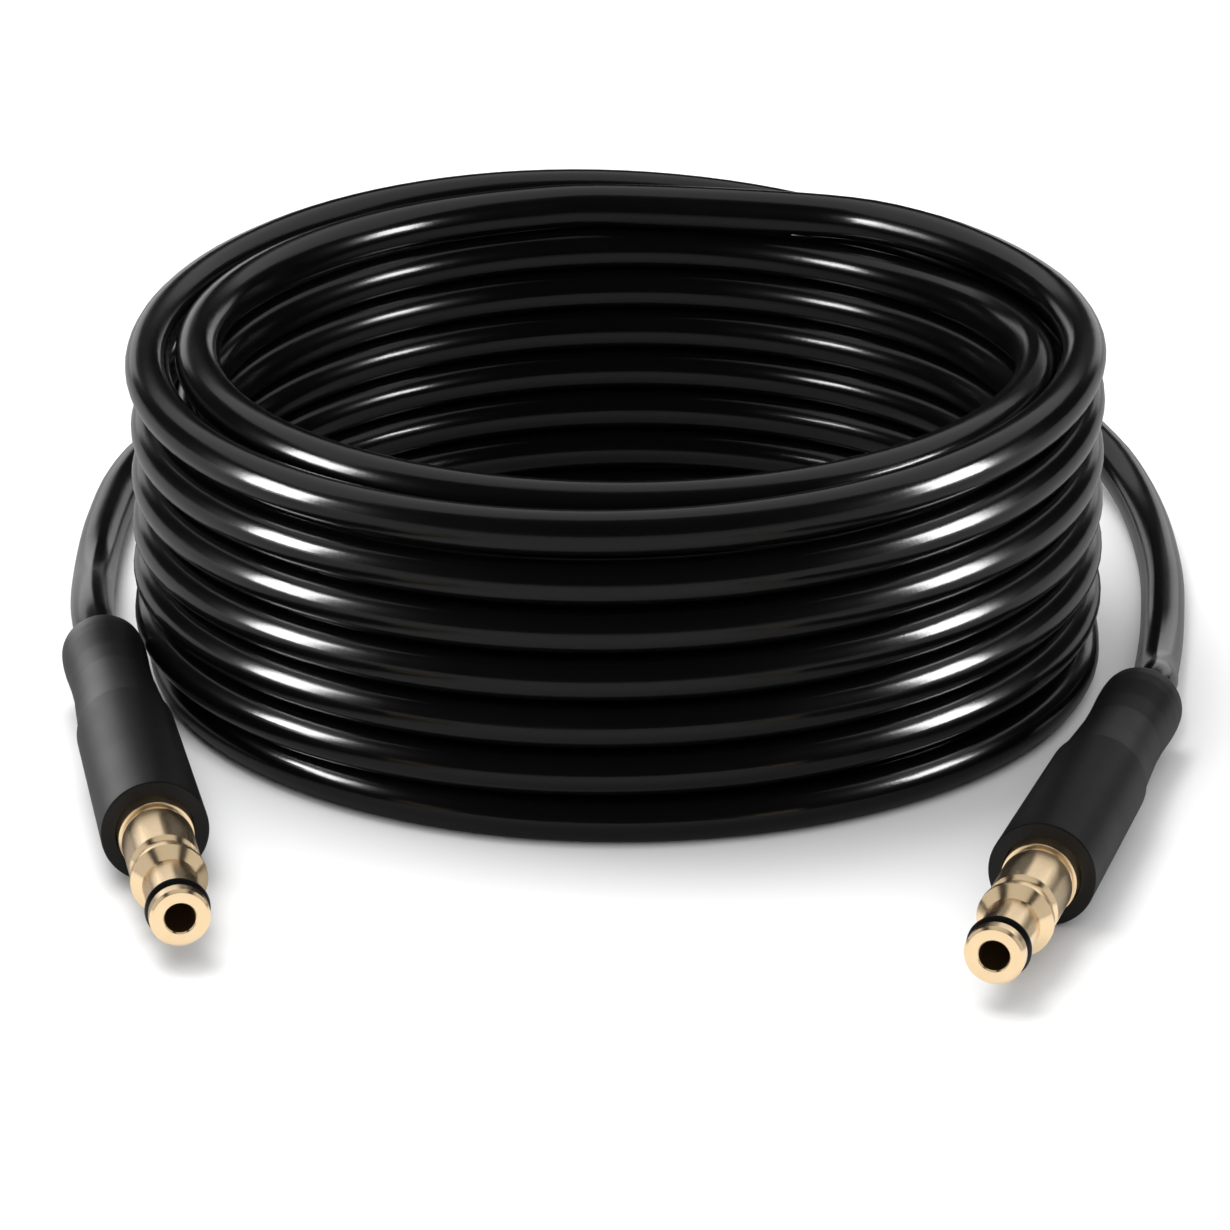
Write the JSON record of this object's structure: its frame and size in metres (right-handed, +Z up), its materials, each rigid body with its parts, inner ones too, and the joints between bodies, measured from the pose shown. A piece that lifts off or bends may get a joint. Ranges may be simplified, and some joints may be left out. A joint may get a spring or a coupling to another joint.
{
  "type": "pressure washer hose",
  "caption": "Coiled black high-pressure hose with a brass quick-connect nipple in a rubber sleeve at each end.",
  "frame": {"origin": "centre of the whole object's box, on the floor that it lies on", "axes": "+Z up; -Y the front, where both nipples point; +X to the right seen from the front; +Y is the object's longest side and +Z its shortest"},
  "size_m": [0.256, 0.3602, 0.0822],
  "materials": {
    "hose": "extruded black PVC hose cover, smooth, semi-gloss",
    "sleeve": "moulded black rubber, matte",
    "nipple": "turned brass, satin",
    "seal": "black nitrile rubber, smooth"
  },
  "bodies": {
    "root": {"hose_coil": "hose", "hose_tail_left": "hose", "hose_tail_right": "hose", "sleeve_left": "sleeve", "sleeve_right": "sleeve", "nipple_left": "nipple", "nipple_right": "nipple", "o_ring_left": "seal", "o_ring_right": "seal"}
  },
  "joints": []
}
